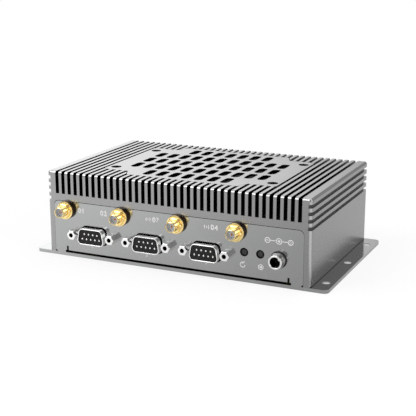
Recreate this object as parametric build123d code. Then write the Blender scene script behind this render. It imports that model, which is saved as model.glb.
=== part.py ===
# Edge computer in a finned aluminium case with a flanged sheet metal base.
# X runs to the right along the front, Y to the back, Z up. The origin is the
# centre of the base plate's underside, the face that lies on the surface.
# Every length is in millimetres.

from build123d import *
import os
from math import cos, radians, sin, tan

os.makedirs("parts", exist_ok=True)

# Overall sizes
case_width = 161.2
case_depth = 100.0
cover_height = 48.0
sheet = 2.0
flange_width = 9.4
flange_corner_radius = 3.0

# Holes in the flanges
mount_spacing_y = 76.0
mount_hole_radius = 2.25

# Heatsink cover
fin_pitch = 4.0
fin_gap = 2.0
fin_height = 13.0
outer_fin_width = 5.6
web = 4.0
wall = 4.0
opening_corner_radius = 3.0
cover_corner_radius = 2.0
cover_top_radius = 1.5
groove_pitch = 4.0
groove_width = 2.0
groove_depth = 2.2
groove_count = 4
groove_first_drop = 4.0

# Front and rear panels of the base
panel_side_gap = 0.1
panel_top_gap = 0.3
panel_corner_cut_width = 1.3
panel_corner_cut_height = 1.3
bend_inside_radius = 0.5
bend_slot_height = 1.4
bend_slot_inset = 6.6
bend_notch_inset = 8.1
bend_notch_width = 1.2
bend_notch_height = 4.0

# Grille plate over the fan
plate_thickness = 1.5
plate_width = 107.0
plate_depth = 64.0
plate_corner_radius = 2.0
tongue_reach = 7.5
tongue_root_width = 75.0
tongue_end_width = 68.0
plate_clearance = 0.4
slot_width = 5.0
slot_length = 12.3
slot_pitch_x = 8.0
slot_pitch_y = 15.0
slot_wide_columns = 11
slot_wide_rows = 3
slot_end_columns = 7
plate_screw_inset_x = 4.5
plate_screw_inset_y = 7.0

# Screws
screw_radius = 1.5
screw_head_radius = 3.0
screw_head_depth = 1.5
screw_recess = 0.1
screw_play = 0.1
socket_across = 2.0
socket_depth = 1.1
plate_screw_length = 8.0
plate_boss_radius = 3.5
base_post_radius = 4.0
base_post_sink = 0.4
base_screw_inset_y = 14.0
base_screw_length = 9.0
base_head_radius = 2.9

# Fan
fan_size = 70.0
fan_thickness = 8.0
fan_corner_radius = 4.0
fan_rim = 2.0
fan_pocket_play = 0.5
fan_top_play = 0.2
fan_hole_inset = 5.0
fan_base_thickness = 1.0
fan_base_rim = 0.5
fan_arm_width = 4.0
fan_arm_count = 4
fan_bearing_radius = 3.0
fan_bearing_height = 4.2
fan_shaft_radius = 1.0
fan_shaft_play = 0.08
hub_radius = 14.0
hub_wall = 1.5
hub_height = 6.0
hub_play = 0.5
blade_count = 9
blade_gap = 1.5
blade_thickness = 0.9
blade_height = 4.6
blade_root_angle = 45.0
blade_tip_angle = 28.0
fan_screw_radius = 1.25
fan_screw_head_radius = 2.5
fan_screw_head_height = 1.6
fan_screw_length = 9.5
fan_screw_sink = 2.0
fan_boss_radius = 3.0

# Antenna jacks
jack_count = 4
jack_edge_gap = 8.5
jack_inlet_gap = 24.1
jack_drop = 4.8
jack_reach = 8.6
jack_radius = 3.1
jack_neck_radius = 2.9
jack_bore_radius = 2.5
jack_bore_depth = 8.0
jack_face_sink = 2.0
jack_panel_play = 0.2
jack_contact_radius = 0.5
jack_contact_hole_radius = 0.25
jack_contact_hole_depth = 2.0
jack_fit = 0.05
jack_back_radius = 3.6
jack_back_length = 2.0
jack_tail_radius = 1.6
jack_tail_length = 6.0
seal_radius = 5.3
seal_thickness = 2.2
washer_radius = 5.15
washer_thickness = 0.5
nut_across = 8.0
nut_thickness = 1.8

# Serial ports
port_count = 3
port_lift = 6.3
port_shell_width = 18.0
port_shell_height = 9.4
port_shell_wall = 0.5
port_shell_corner = 2.6
port_shell_slant = 10.0
port_reach = 4.6
port_face_sink = 0.6
port_cut_play = 0.7
port_flange_ear = 2.5
port_flange_height = 12.5
port_flange_thickness = 0.8
port_body_rim = 0.7
port_body_depth = 10.0
port_fit = 0.05
contact_pitch_x = 2.77
contact_pitch_z = 2.84
contact_radius = 0.5
contact_length = 8.0
contact_wide_count = 5
contact_narrow_count = 4
jackscrew_spacing = 24.99
jackscrew_across = 5.0
jackscrew_length = 5.0
jackscrew_shank_radius = 1.4
jackscrew_shank_length = 4.5
jackscrew_bore_radius = 1.3
jackscrew_bore_depth = 4.0

# Push buttons
button_pitch = 9.3
button_inlet_gap = 10.4
button_lift = 8.8
button_radius = 1.6
button_hole_play = 0.8
button_sink = 0.2
button_flange_radius = 3.0
button_flange_thickness = 0.8
button_flange_play = 0.05
button_stem_radius = 1.3
button_stem_length = 2.0
button_travel = 0.3
switch_width = 6.2
switch_height = 6.2
switch_depth = 3.6
switch_nib_radius = 1.6
switch_nib_length = 0.8
switch_foot_width = 4.5

# Power inlet
inlet_edge_gap = 13.9
inlet_lift = 7.1
inlet_reach = 5.6
inlet_radius = 3.85
inlet_bore_radius = 2.9
inlet_bore_depth = 10.0
inlet_rim_length = 1.2
inlet_neck_length = 1.0
inlet_neck_radius = 3.45
inlet_collar_radius = 4.3
inlet_ring_radius = 4.75
inlet_ring_thickness = 0.4
inlet_pin_radius = 1.05
inlet_pin_sink = 2.4
inlet_play = 0.1
inlet_body_width = 9.0
inlet_body_depth = 9.0

# Carrier board and what stands on it
board_side_gap = 3.0
board_end_gap = 2.0
board_thickness = 1.6
standoff_height = 4.5
standoff_radius = 2.6
standoff_inset = 3.5
standoff_front_inset = 13.0
board_screw_radius = 1.2
board_screw_length = 3.0
board_head_radius = 2.3
board_head_height = 1.4

module_x = 7.5
module_y = 4.0
module_width = 55.0
module_depth = 40.0
module_thickness = 1.2
module_lift = 6.0
module_socket_depth = 6.0
module_post_radius = 1.8
module_post_inset = 3.0
chip_size = 9.0
chip_height = 0.9
chip_x = 20.5
lid_size = 30.0
lid_thickness = 1.5
pad_thickness = 1.0
pedestal_size = 34.0

card_thickness = 0.8
card_lift = 3.4
card_width = 22.0
card_socket_depth = 5.0
card_socket_height = 5.0
card_post_radius = 1.6
card_chip_height = 1.2
card_gap = 1.4
card_edge_gap = 0.5
ssd_length = 42.0
wifi_inset = 26.5
wifi_length = 30.0
cell_inset = 21.5
cell_width = 30.0
cell_length = 42.0

# Rear sockets
lan_width = 16.0
lan_height = 13.5
lan_depth = 18.0
lan_hole_width = 11.8
lan_hole_height = 8.2
lan_hole_depth = 12.0
socket_edge_gap = 8.0
lan_gap = 1.0
usb_width = 13.2
usb_height = 15.6
usb_depth = 17.0
usb_hole_height = 5.2
usb_hole_width = 12.2
usb_hole_depth = 11.0
usb_tongue = 1.8
usb_gap = 1.8
lan_usb_gap = 4.4
hdmi_width = 15.0
hdmi_height = 6.0
hdmi_depth = 12.0
hdmi_wall = 0.5
hdmi_tongue = 1.2
usb_hdmi_gap = 1.4
socket_play = 0.3
socket_reach = 0.4

# Antenna leads inside the case
lead_radius = 0.6
lead_run_back = 13.0
lead_plug_height = 1.2
lead_plug_radius = 1.2
lead_plug_inset = 2.5
lead_plug_pitch = 13.0

# Heights and faces that follow from the sizes above
top_z = sheet + cover_height
gap_floor_z = top_z - fin_height
opening_top_z = gap_floor_z - web
opening_half = case_width / 2 - wall
panel_half = opening_half - panel_side_gap
panel_top_z = opening_top_z - panel_top_gap
gap_count = int((case_width - 2 * outer_fin_width + fin_gap) / fin_pitch + 0.001)
front_y = -case_depth / 2
rear_y = case_depth / 2
panel_in_y = front_y + sheet
plate_low_z = top_z - plate_thickness
fan_top_z = plate_low_z - fan_top_play
fan_low_z = fan_top_z - fan_thickness
board_low_z = sheet + standoff_height
board_top_z = board_low_z + board_thickness
module_low_z = board_top_z + module_lift
module_top_z = module_low_z + module_thickness
lid_top_z = module_top_z + lid_thickness
pad_top_z = lid_top_z + pad_thickness
card_low_z = board_top_z + card_lift
card_top_z = card_low_z + card_thickness
plate_screw_x = plate_width / 2 - plate_screw_inset_x
plate_screw_y = plate_depth / 2 - plate_screw_inset_y
fan_bore_radius = fan_size / 2 - fan_rim
fan_hole_pitch = fan_size - 2 * fan_hole_inset
fan_base_radius = hub_radius + fan_base_rim
blade_tip_radius = fan_bore_radius - blade_gap

# The sockets along the front, spread between the panel's two ends
inlet_x = panel_half - inlet_edge_gap
recovery_x = inlet_x - button_inlet_gap
reset_x = recovery_x - button_pitch
jack_first_x = -panel_half + jack_edge_gap
jack_pitch = (inlet_x - jack_inlet_gap - jack_first_x) / (jack_count - 1)
jack_x = [jack_first_x + i * jack_pitch for i in range(jack_count)]
port_x = [x + jack_pitch / 2 for x in jack_x[:port_count]]
jack_z = panel_top_z - jack_drop
port_z = board_top_z + port_lift
button_z = board_top_z + button_lift
inlet_z = board_top_z + inlet_lift
button_hole_radius = button_radius + button_hole_play
port_flange_width = jackscrew_spacing + 2 * port_flange_ear
port_body_width = port_shell_width + 2 * port_body_rim
port_back_y = panel_in_y + port_flange_thickness + port_body_depth

# The board between the screw posts, and the places of what stands on it
base_screw_x = opening_half - base_post_radius + base_post_sink
base_screw_y = case_depth / 2 - base_screw_inset_y
board_width = 2 * (base_screw_x - base_post_radius - board_side_gap)
board_depth = case_depth - 2 * (sheet + board_end_gap)
standoff_x = board_width / 2 - standoff_inset
standoff_front_y = -board_depth / 2 + standoff_front_inset
standoff_rear_y = board_depth / 2 - standoff_inset
standoff_bore_radius = board_screw_radius + screw_play
ssd_x = board_width / 2 - card_edge_gap - card_width / 2
ssd_low_y = standoff_front_y + standoff_radius + card_gap + card_socket_depth
ssd_y = ssd_low_y + ssd_length / 2
cell_x = -board_width / 2 + cell_inset
cell_y = port_back_y + card_gap + card_socket_depth + cell_length / 2
wifi_x = -board_width / 2 + wifi_inset
wifi_y = cell_y + cell_length / 2 + card_gap + card_width / 2
lan_first_x = board_width / 2 - socket_edge_gap - lan_width / 2
lan_x = (lan_first_x, lan_first_x - lan_width - lan_gap)
usb_first_x = lan_x[1] - lan_width / 2 - lan_usb_gap - usb_width / 2
usb_x = (usb_first_x, usb_first_x - usb_width - usb_gap)
hdmi_x = usb_x[1] - usb_width / 2 - usb_hdmi_gap - hdmi_width / 2


def save(part, name):
    part.label = name
    export_step(part, "parts/" + name + ".step")


def front(x, y, z):
    # A drawing plane at y that faces the front, with its Y axis up.
    return Plane(origin=(x, y, z), x_dir=(1, 0, 0), z_dir=(0, -1, 0))


def rear(x, y, z):
    # A drawing plane at y that faces the back, with its Y axis up.
    return Plane(origin=(x, y, z), x_dir=(-1, 0, 0), z_dir=(0, 1, 0))


def level(x, y, z):
    return Plane(origin=(x, y, z), x_dir=(1, 0, 0), z_dir=(0, 0, 1))


def turned(profile, x, z):
    # Turns a closed outline of (radius, y) points about the line along Y at x, z.
    return Pos(x, 0, z) * revolve(make_face(Polyline(*profile, close=True)), Axis.Y)


def hexagon(across):
    return RegularPolygon(across / 2, 6, major_radius=False)


def corners(x, y):
    return [(x, y), (-x, y), (-x, -y), (x, -y)]


def solids(parts):
    # Separate solids that share one node.
    return Compound(children=[s for p in parts for s in p.solids()])


def plate_outline(grow):
    # The grille plate with its front and back tongues, grown by a clearance.
    body = Rectangle(plate_width, plate_depth)
    body = fillet(body.vertices(), plate_corner_radius)
    reach = plate_depth / 2 + tongue_reach
    root = tongue_root_width / 2
    end = tongue_end_width / 2
    tongue = make_face(
        Polyline((-root, -plate_depth / 2), (-end, -reach), (end, -reach),
                 (root, -plate_depth / 2), (root, plate_depth / 2), (end, reach),
                 (-end, reach), (-root, plate_depth / 2), close=True)
    )
    outline = body + tongue
    return offset(outline, grow) if grow else outline


def countersink(radius, head, depth, x, y, z, length, up=True):
    # A screw's outline, or its hole, with the head's face at z.
    turn = 1 if up else -1
    profile = [(0, 0), (head, 0), (radius, -depth), (radius, -length), (0, -length)]
    shape = revolve(make_face(Polyline(*profile, close=True)), Axis.Y)
    return Pos(x, y, z) * Rot(90 * turn, 0, 0) * shape


# Heatsink cover: an upside-down channel with straight fins along the top.

def heatsink_cover():
    blank = extrude(level(0, 0, sheet) * Rectangle(case_width, case_depth), cover_height)
    blank = fillet(blank.edges().filter_by(Axis.Z), cover_corner_radius)
    rim = blank.faces().sort_by(Axis.Z)[-1].edges()
    cover = fillet(rim, cover_top_radius)

    inside = Rectangle(2 * opening_half, opening_top_z - sheet)
    inside = fillet(inside.vertices().group_by(Axis.Y)[-1], opening_corner_radius)
    middle = (opening_top_z + sheet) / 2
    cover -= extrude(front(0, rear_y + 1, middle) * inside, case_depth + 2)

    gaps = GridLocations(fin_pitch, 1, gap_count, 1) * Rectangle(fin_gap, fin_height * 2)
    cover -= extrude(front(0, rear_y + 1, top_z) * Sketch(gaps), case_depth + 2)

    groove_z = top_z - groove_first_drop - (groove_count - 1) * groove_pitch / 2
    slots = GridLocations(case_width, groove_pitch, 2, groove_count)
    slots = slots * Rectangle(groove_depth * 2, groove_width)
    cover -= extrude(front(0, rear_y + 1, groove_z) * Sketch(slots), case_depth + 2)

    boss_height = plate_low_z - gap_floor_z
    cover += [
        extrude(level(x, y, gap_floor_z) * Circle(plate_boss_radius), boss_height)
        for x, y in corners(plate_screw_x, plate_screw_y)
    ]
    cover -= extrude(level(0, 0, plate_low_z) * plate_outline(plate_clearance), fin_height)

    pocket_size = fan_size + 2 * fan_pocket_play
    pocket = RectangleRounded(pocket_size, pocket_size, fan_corner_radius)
    cover -= extrude(level(0, 0, fan_low_z) * pocket, fin_height)
    boss_height = fan_low_z - gap_floor_z
    fan_holes = corners(fan_hole_pitch / 2, fan_hole_pitch / 2)
    cover += [
        extrude(level(x, y, gap_floor_z) * Circle(fan_boss_radius), boss_height)
        for x, y in fan_holes
    ]

    post_length = opening_top_z - sheet
    base_holes = corners(base_screw_x, base_screw_y)
    cover += [
        extrude(level(x, y, sheet) * Circle(base_post_radius), post_length)
        for x, y in base_holes
    ]
    pedestal = Rectangle(pedestal_size, pedestal_size)
    pedestal_height = opening_top_z - pad_top_z
    cover += extrude(level(module_x, module_y, pad_top_z) * pedestal, pedestal_height)

    reach = plate_screw_length - plate_thickness + 0.5
    cover -= [
        extrude(level(x, y, plate_low_z - reach) * Circle(screw_radius + screw_play), reach)
        for x, y in corners(plate_screw_x, plate_screw_y)
    ]
    reach = base_screw_length - sheet + 0.5
    cover -= [
        extrude(level(x, y, sheet) * Circle(screw_radius + screw_play), reach)
        for x, y in base_holes
    ]
    screw_low_z = fan_top_z - fan_screw_sink - fan_screw_length
    cover -= [
        extrude(
            level(x, y, screw_low_z - 0.3) * Circle(fan_screw_radius + screw_play),
            fan_low_z - screw_low_z + 0.3,
        )
        for x, y in fan_holes
    ]
    return cover


# Grille plate and its four countersunk screws.

def fan_grille_plate():
    outline = plate_outline(0)
    slot = Rot(0, 0, 90) * SlotOverall(slot_length, slot_width)
    outline -= GridLocations(slot_pitch_x, slot_pitch_y, slot_wide_columns, slot_wide_rows) * slot
    end_pitch = slot_pitch_y * (slot_wide_rows + 1)
    outline -= GridLocations(slot_pitch_x, end_pitch, slot_end_columns, 2) * slot
    plate = extrude(level(0, 0, plate_low_z) * outline, plate_thickness)
    plate -= [
        countersink(
            screw_radius + screw_play, screw_head_radius + screw_play,
            screw_head_depth, x, y, top_z, plate_screw_length,
        )
        for x, y in corners(plate_screw_x, plate_screw_y)
    ]
    return plate


def socket_screw(x, y, z, length, head, up=True):
    turn = 1 if up else -1
    screw = countersink(screw_radius, head, screw_head_depth, x, y, z, length, up)
    key = extrude(level(x, y, z) * hexagon(socket_across), -socket_depth * turn)
    return screw - key


def grille_screws():
    z = top_z - screw_recess
    return solids(
        socket_screw(x, y, z, plate_screw_length - 2 * screw_recess, screw_head_radius)
        for x, y in corners(plate_screw_x, plate_screw_y)
    )


# Fan: a square frame with a motor base on four arms, and a bladed rotor.

def fan_frame():
    frame = extrude(
        level(0, 0, fan_low_z) * RectangleRounded(fan_size, fan_size, fan_corner_radius),
        fan_thickness,
    )
    frame -= extrude(level(0, 0, fan_low_z) * Circle(fan_bore_radius), fan_thickness)
    arms = [
        extrude(
            level(0, 0, fan_low_z) * Rot(0, 0, 45 + i * 360 / fan_arm_count)
            * Pos(fan_bore_radius / 2 + 1, 0) * Rectangle(fan_bore_radius, fan_arm_width),
            fan_base_thickness,
        )
        for i in range(fan_arm_count)
    ]
    frame += arms
    frame += extrude(level(0, 0, fan_low_z) * Circle(fan_base_radius), fan_base_thickness)
    bearing = fan_base_thickness + fan_bearing_height
    frame += extrude(level(0, 0, fan_low_z) * Circle(fan_bearing_radius), bearing)
    bore = Circle(fan_shaft_radius + fan_shaft_play)
    frame -= extrude(level(0, 0, fan_low_z + fan_base_thickness) * bore, fan_bearing_height)
    for x, y in corners(fan_hole_pitch / 2, fan_hole_pitch / 2):
        hole = Circle(fan_screw_radius + screw_play)
        frame -= extrude(level(x, y, fan_low_z) * hole, fan_thickness)
        head = Circle(fan_screw_head_radius + screw_play)
        frame -= extrude(level(x, y, fan_top_z) * head, -fan_screw_sink - fan_screw_head_height)
    return frame


def blade_section(radius, angle):
    # One blade's section on a plane square to the radius.
    chord = blade_height / sin(radians(angle))
    plane = Plane(origin=(radius, 0, 0), x_dir=(0, 1, 0), z_dir=(1, 0, 0))
    return plane * Rot(0, 0, angle) * Rectangle(chord, blade_thickness)


def fan_rotor():
    hub_low_z = fan_low_z + fan_base_thickness + hub_play
    hub_top_z = hub_low_z + hub_height
    rotor = extrude(level(0, 0, hub_low_z) * Circle(hub_radius), hub_height)
    rotor = fillet(rotor.edges().group_by(Axis.Z)[-1], hub_wall / 2)
    cup = Circle(hub_radius - hub_wall)
    rotor -= extrude(level(0, 0, hub_low_z) * cup, hub_height - hub_wall)
    shaft_low_z = fan_low_z + fan_base_thickness + fan_shaft_play
    shaft = hub_top_z - hub_wall / 2 - shaft_low_z
    rotor += extrude(level(0, 0, shaft_low_z) * Circle(fan_shaft_radius), shaft)
    root = blade_section(hub_radius - hub_wall / 2, blade_root_angle)
    tip = blade_section(blade_tip_radius, blade_tip_angle)
    blade = Pos(0, 0, hub_low_z + hub_height / 2) * loft([root, tip])
    rotor += [Rot(0, 0, i * 360 / blade_count) * blade for i in range(blade_count)]
    return rotor


def fan_screws():
    head_z = fan_top_z - fan_screw_sink
    screws = []
    for x, y in corners(fan_hole_pitch / 2, fan_hole_pitch / 2):
        low = head_z - fan_screw_head_height
        head = extrude(level(x, y, low) * Circle(fan_screw_head_radius), fan_screw_head_height)
        shank = extrude(level(x, y, head_z) * Circle(fan_screw_radius), -fan_screw_length)
        key = extrude(level(x, y, head_z) * hexagon(socket_across), -socket_depth)
        screws.append(head + shank - key)
    return solids(screws)


# Base tray: the flanged plate with the front and rear panels folded up.

def bend_cuts(side):
    # The slot along the fold, the notches near its ends and the cut lower corners.
    through = sheet * 1.5
    slot_low = front(0, 0, sheet + bend_slot_height / 2)
    wide = Rectangle(2 * (panel_half - bend_slot_inset), bend_slot_height)
    cuts = extrude(slot_low * wide, through, both=True)
    notch = Rectangle(bend_notch_width, bend_notch_height)
    for s in (-1, 1):
        at = front(s * (panel_half - bend_notch_inset), 0, sheet + bend_notch_height / 2)
        cuts += extrude(at * notch, through, both=True)
        corner = s * panel_half
        triangle = Polyline(
            (corner, 0), (corner - s * panel_corner_cut_width, 0),
            (corner, panel_corner_cut_height), close=True,
        )
        cuts += extrude(front(0, 0, sheet) * make_face(triangle), through, both=True)
    return Pos(0, side * case_depth / 2, 0) * cuts


def base_tray():
    outside = Rectangle(case_depth, 2 * panel_top_z)
    inside = Rectangle(case_depth - 2 * sheet, 2 * panel_top_z)
    inside = Pos(0, sheet) * fillet(inside.vertices(), bend_inside_radius)
    side = Plane(origin=(-panel_half, 0, panel_top_z), x_dir=(0, 1, 0), z_dir=(1, 0, 0))
    tray = extrude(side * (outside - inside), 2 * panel_half)
    above = Rectangle(2 * case_width, 2 * panel_top_z)
    tray -= extrude(front(0, rear_y + 1, 2 * panel_top_z) * above, case_depth + 2)

    top_corners = [
        e for e in tray.edges().filter_by(Axis.Y)
        if e.length < 2 * sheet and e.center().Z > panel_top_z - 0.01
    ]
    tray = fillet(top_corners, opening_corner_radius)
    tray -= bend_cuts(-1)
    tray -= bend_cuts(1)

    full = Rectangle(case_width + 2 * flange_width, case_depth)
    full = fillet(full.vertices(), flange_corner_radius)
    tray += extrude(full, sheet)

    hole_x = (case_width + flange_width) / 2
    holes = GridLocations(2 * hole_x, mount_spacing_y / 2, 2, 3) * Circle(mount_hole_radius)
    tray -= extrude(Sketch(holes), sheet)
    tray -= [
        countersink(
            screw_radius + screw_play, base_head_radius + screw_play,
            screw_head_depth, x, y, 0, sheet, up=False,
        )
        for x, y in corners(base_screw_x, base_screw_y)
    ]

    through = sheet * 2
    hole = Circle(jack_neck_radius + jack_panel_play)
    tray -= [extrude(front(x, panel_in_y, jack_z) * hole, through, both=True) for x in jack_x]
    cut = port_profile(port_cut_play)
    tray -= [extrude(front(x, panel_in_y, port_z) * cut, through, both=True) for x in port_x]
    hole = Circle(jackscrew_shank_radius + screw_play)
    for x in port_x:
        for s in (-1, 1):
            at = front(x + s * jackscrew_spacing / 2, panel_in_y, port_z)
            tray -= extrude(at * hole, through, both=True)
    hole = Circle(button_hole_radius)
    for x in (reset_x, recovery_x):
        tray -= extrude(front(x, panel_in_y, button_z) * hole, through, both=True)
    hole = Circle(inlet_radius + inlet_play)
    tray -= extrude(front(inlet_x, panel_in_y, inlet_z) * hole, through, both=True)

    for x, width, height in rear_sockets():
        cut = Rectangle(width + 2 * socket_play, height + 2 * socket_play)
        at = rear(x, rear_y, board_top_z + height / 2)
        tray -= extrude(at * cut, through, both=True)
    return tray


def rear_sockets():
    sockets = [(x, lan_width, lan_height) for x in lan_x]
    sockets += [(x, usb_width, usb_height) for x in usb_x]
    return sockets + [(hdmi_x, hdmi_width, hdmi_height)]


def base_screws():
    return solids(
        socket_screw(x, y, screw_recess, base_screw_length, base_head_radius, up=False)
        for x, y in corners(base_screw_x, base_screw_y)
    )


# Antenna jacks: a gold body with its insulator and contact, nut, washer and seal.

def antenna_jack(x):
    tip = front_y - jack_reach
    nut_y = front_y - seal_thickness - washer_thickness - nut_thickness
    back = panel_in_y + jack_back_length
    body = turned(
        [
            (jack_bore_radius, tip), (jack_radius, tip), (jack_radius, nut_y),
            (jack_neck_radius, nut_y), (jack_neck_radius, panel_in_y),
            (jack_back_radius, panel_in_y), (jack_back_radius, back),
            (jack_tail_radius, back), (jack_tail_radius, back + jack_tail_length),
            (0, back + jack_tail_length), (0, tip + jack_bore_depth),
            (jack_bore_radius, tip + jack_bore_depth),
        ],
        x, jack_z,
    )
    return body


def antenna_insulators():
    tip = front_y - jack_reach
    face = tip + jack_face_sink
    rings = []
    for x in jack_x:
        outer = jack_bore_radius - jack_fit
        inner = jack_contact_radius + jack_fit
        end = tip + jack_bore_depth
        rings.append(turned([(inner, face), (outer, face), (outer, end), (inner, end)], x, jack_z))
    return solids(rings)


def antenna_contacts():
    tip = front_y - jack_reach
    face = tip + jack_face_sink
    end = tip + jack_bore_depth
    pins = []
    for x in jack_x:
        hole = jack_contact_hole_radius
        deep = face + jack_contact_hole_depth
        profile = [(hole, face), (jack_contact_radius, face), (jack_contact_radius, end),
                   (0, end), (0, deep), (hole, deep)]
        pins.append(turned(profile, x, jack_z))
    return solids(pins)


def jack_ring(x, radius, near, thickness):
    bore = jack_neck_radius + jack_fit
    far = near - thickness
    return turned([(bore, near), (radius, near), (radius, far), (bore, far)], x, jack_z)


def antenna_seal_rings():
    return solids(jack_ring(x, seal_radius, front_y, seal_thickness) for x in jack_x)


def antenna_washers():
    near = front_y - seal_thickness
    return solids(jack_ring(x, washer_radius, near, washer_thickness) for x in jack_x)


def antenna_hex_nuts():
    near = front_y - seal_thickness - washer_thickness
    nut = hexagon(nut_across) - Circle(jack_neck_radius + jack_fit)
    return solids(extrude(front(x, near, jack_z) * nut, nut_thickness) for x in jack_x)


# Serial ports: D-shaped shells with the wide side down, held by two jackscrews.

def port_profile(grow):
    half = port_shell_width / 2
    low = -port_shell_height / 2
    high = port_shell_height / 2
    narrow = half - port_shell_height * tan(radians(port_shell_slant))
    outline = make_face(
        Polyline((-half, low), (half, low), (narrow, high), (-narrow, high), close=True)
    )
    outline = fillet(outline.vertices(), port_shell_corner)
    return offset(outline, grow) if grow else outline


def contact_spots():
    spots = []
    for count, z in ((contact_wide_count, -contact_pitch_z / 2), (contact_narrow_count, contact_pitch_z / 2)):
        spots += [((i - (count - 1) / 2) * contact_pitch_x, z) for i in range(count)]
    return spots


def serial_port_shell(x):
    flange = Rectangle(port_flange_width, port_flange_height)
    for s in (-1, 1):
        flange -= Pos(s * jackscrew_spacing / 2, 0) * Circle(jackscrew_shank_radius + screw_play)
    back = panel_in_y + port_flange_thickness
    shell = extrude(front(x, back, port_z) * flange, port_flange_thickness)
    length = port_flange_thickness + sheet + port_reach
    shell += extrude(front(x, back, port_z) * port_profile(0), length)
    shell -= extrude(front(x, back, port_z) * port_profile(-port_shell_wall), length)
    return shell


def serial_port_insulator(x):
    back = panel_in_y + port_flange_thickness
    length = port_flange_thickness + sheet + port_reach - port_face_sink
    nose = extrude(front(x, back, port_z) * port_profile(-port_shell_wall - port_fit), length)
    height = port_flange_height / 2 + port_z - board_top_z
    middle = board_top_z + height / 2
    body = Rectangle(port_body_width, height)
    nose += extrude(front(x, back + port_body_depth, middle) * body, port_body_depth)
    face = front_y - port_reach + port_face_sink
    holes = [
        extrude(
            front(x + dx, face, port_z + dz) * Circle(contact_radius + port_fit),
            -contact_length,
        )
        for dx, dz in contact_spots()
    ]
    return nose - holes


def serial_port_contacts(x):
    face = front_y - port_reach + port_face_sink
    return solids(
        extrude(front(x + dx, face, port_z + dz) * Circle(contact_radius), -contact_length)
        for dx, dz in contact_spots()
    )


def serial_port_jackscrews(x):
    screws = []
    for s in (-1, 1):
        at = front(x + s * jackscrew_spacing / 2, front_y, port_z)
        post = extrude(at * hexagon(jackscrew_across), jackscrew_length)
        post += extrude(at * Circle(jackscrew_shank_radius), -jackscrew_shank_length)
        mouth = front(x + s * jackscrew_spacing / 2, front_y - jackscrew_length, port_z)
        post -= extrude(mouth * Circle(jackscrew_bore_radius), -jackscrew_bore_depth)
        screws.append(post)
    return solids(screws)


# Push buttons: a cap that slides in the panel and a switch behind it.

def button(x):
    face = front_y + button_sink
    seat = panel_in_y + button_flange_play
    back = seat + button_flange_thickness
    end = back + button_stem_length
    return turned(
        [
            (0, face), (button_radius, face), (button_radius, seat),
            (button_flange_radius, seat), (button_flange_radius, back),
            (button_stem_radius, back), (button_stem_radius, end), (0, end),
        ],
        x, button_z,
    )


def push_switch(x):
    stem_end = panel_in_y + button_flange_play + button_flange_thickness + button_stem_length
    nib_y = stem_end + button_travel
    body_y = nib_y + switch_nib_length + switch_depth
    body = extrude(front(x, body_y, button_z) * Rectangle(switch_width, switch_height), switch_depth)
    nib_length = switch_nib_length
    body += extrude(front(x, nib_y + nib_length, button_z) * Circle(switch_nib_radius), nib_length)
    foot_height = button_z - switch_height / 2 - board_top_z
    foot = Rectangle(switch_foot_width, foot_height)
    body += extrude(front(x, body_y, board_top_z + foot_height / 2) * foot, switch_depth)
    return body


# Power inlet: a bright threaded barrel round a centre pin.

def dc_jack_barrel():
    tip = front_y - inlet_reach
    rim = tip + inlet_rim_length
    neck = rim + inlet_neck_length
    seat = front_y - inlet_ring_thickness
    end = tip + inlet_bore_depth
    return turned(
        [
            (inlet_bore_radius, tip), (inlet_radius, tip), (inlet_radius, rim),
            (inlet_neck_radius, rim), (inlet_neck_radius, neck),
            (inlet_collar_radius, neck), (inlet_collar_radius, seat),
            (inlet_radius, seat), (inlet_radius, end), (inlet_bore_radius, end),
        ],
        inlet_x, inlet_z,
    )


def dc_jack_seal():
    bore = inlet_radius + inlet_play
    near = front_y
    far = front_y - inlet_ring_thickness
    profile = [(bore, near), (inlet_ring_radius, near), (inlet_ring_radius, far), (bore, far)]
    return turned(profile, inlet_x, inlet_z)


def dc_jack_body():
    start = front_y - inlet_reach + inlet_bore_depth
    height = inlet_z - board_top_z + inlet_body_width / 2
    block = Rectangle(inlet_body_width, height)
    at = front(inlet_x, start + inlet_body_depth, board_top_z + height / 2)
    body = extrude(at * block, inlet_body_depth)
    hole = Circle(inlet_pin_radius + inlet_play)
    return body - extrude(front(inlet_x, start + inlet_body_depth / 2, inlet_z) * hole, inlet_body_depth)


def dc_jack_pin():
    tip = front_y - inlet_reach + inlet_pin_sink
    end = front_y - inlet_reach + inlet_bore_depth + inlet_body_depth / 2
    pin = extrude(front(inlet_x, end, inlet_z) * Circle(inlet_pin_radius), end - tip)
    return fillet(pin.edges().group_by(Axis.Y)[0], inlet_pin_radius / 2)


# Boards inside the case.

def standoff_spots():
    return [(s * standoff_x, y) for s in (-1, 1) for y in (standoff_front_y, standoff_rear_y)]


def carrier_board():
    board = Rectangle(board_width, board_depth)
    for x, y in standoff_spots():
        board -= Pos(x, y) * Circle(board_screw_radius + screw_play)
    return extrude(level(0, 0, board_low_z) * board, board_thickness)


def board_standoffs():
    ring = Circle(standoff_radius) - Circle(standoff_bore_radius)
    return solids(extrude(level(x, y, sheet) * ring, standoff_height) for x, y in standoff_spots())


def board_screws():
    screws = []
    for x, y in standoff_spots():
        head = extrude(level(x, y, board_top_z) * Circle(board_head_radius), board_head_height)
        shank = Circle(board_screw_radius)
        length = board_thickness + board_screw_length
        head += extrude(level(x, y, board_top_z) * shank, -length)
        screws.append(head)
    return solids(screws)


def compute_module():
    base = Rectangle(module_width, module_depth)
    module = extrude(level(module_x, module_y, module_low_z) * base, module_thickness)
    chips = GridLocations(2 * chip_x, 2 * chip_size, 2, 2) * Rectangle(chip_size, chip_size * 1.3)
    module += extrude(level(module_x, module_y, module_top_z) * Sketch(chips), chip_height)
    return module


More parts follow.
